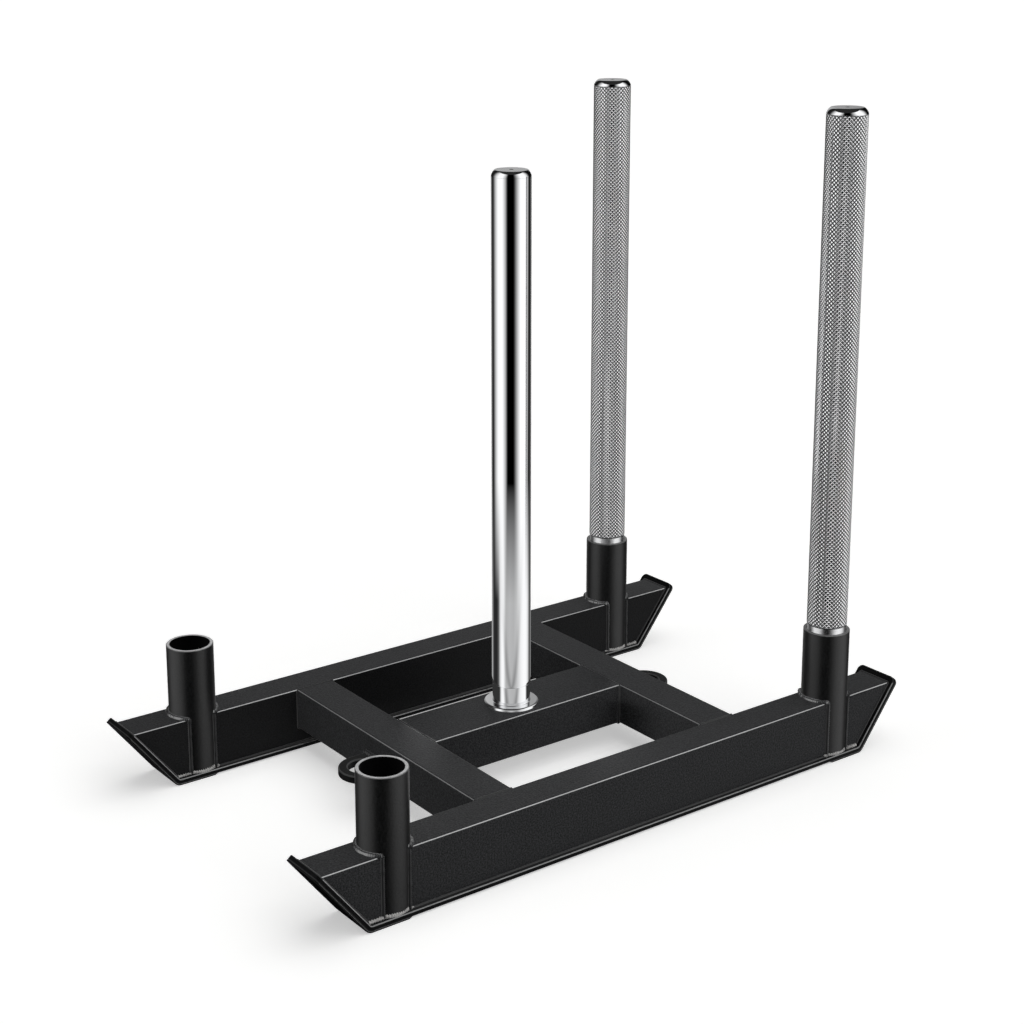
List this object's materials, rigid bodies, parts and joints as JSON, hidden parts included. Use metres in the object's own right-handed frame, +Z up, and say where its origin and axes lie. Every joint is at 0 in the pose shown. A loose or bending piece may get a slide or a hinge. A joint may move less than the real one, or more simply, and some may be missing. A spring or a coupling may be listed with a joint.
{
  "type": "push sled",
  "caption": "Push sled with skid rails turned up at the ends, a welded cross frame, a bright plate post, tow eyes and lift-out knurled handles in tube sockets.",
  "frame": {"origin": "on the floor under the middle of the sled, at the centre of its plan", "axes": "+X to the right rail, +Y to the rear end with the handles, +Z up along the plate post"},
  "size_m": [0.514, 0.905, 0.852],
  "materials": {
    "black_powder_coat": "satin black powder coat over welded steel",
    "chrome_plate": "bright chrome plate",
    "zinc_steel": "zinc-plated steel",
    "black_plastic": "moulded black plastic"
  },
  "bodies": {
    "frame": {"left_rail": "black_powder_coat", "right_rail": "black_powder_coat", "left_front_rail_end": "black_powder_coat", "left_rear_rail_end": "black_powder_coat", "right_front_rail_end": "black_powder_coat", "right_rear_rail_end": "black_powder_coat", "left_runner": "black_powder_coat", "right_runner": "black_powder_coat", "left_front_shoe": "black_powder_coat", "left_rear_shoe": "black_powder_coat", "right_front_shoe": "black_powder_coat", "right_rear_shoe": "black_powder_coat", "left_front_socket": "black_powder_coat", "left_rear_socket": "black_powder_coat", "right_front_socket": "black_powder_coat", "right_rear_socket": "black_powder_coat", "front_cross_beam": "black_powder_coat", "rear_cross_beam": "black_powder_coat", "centre_beam": "black_powder_coat", "front_tow_eye": "black_powder_coat", "rear_tow_eye": "black_powder_coat", "post_hub": "chrome_plate", "post_tube": "chrome_plate", "post_cap": "chrome_plate", "post_bolt": "zinc_steel", "post_washer": "zinc_steel", "post_lock_washer": "zinc_steel", "post_spacer": "zinc_steel"},
    "left_handle": {"left_handle_tube": "chrome_plate", "left_handle_cap": "chrome_plate", "left_foot_plug": "black_plastic"},
    "right_handle": {"right_handle_tube": "chrome_plate", "right_handle_cap": "chrome_plate", "right_foot_plug": "black_plastic"}
  },
  "joints": [
    {"name": "left_handle_lift", "type": "slide", "parent": "frame", "child": "left_handle", "axis": [0, 0, 1], "range_m": [0, 0.2]},
    {"name": "right_handle_lift", "type": "slide", "parent": "frame", "child": "right_handle", "axis": [0, 0, 1], "range_m": [0, 0.2]}
  ]
}
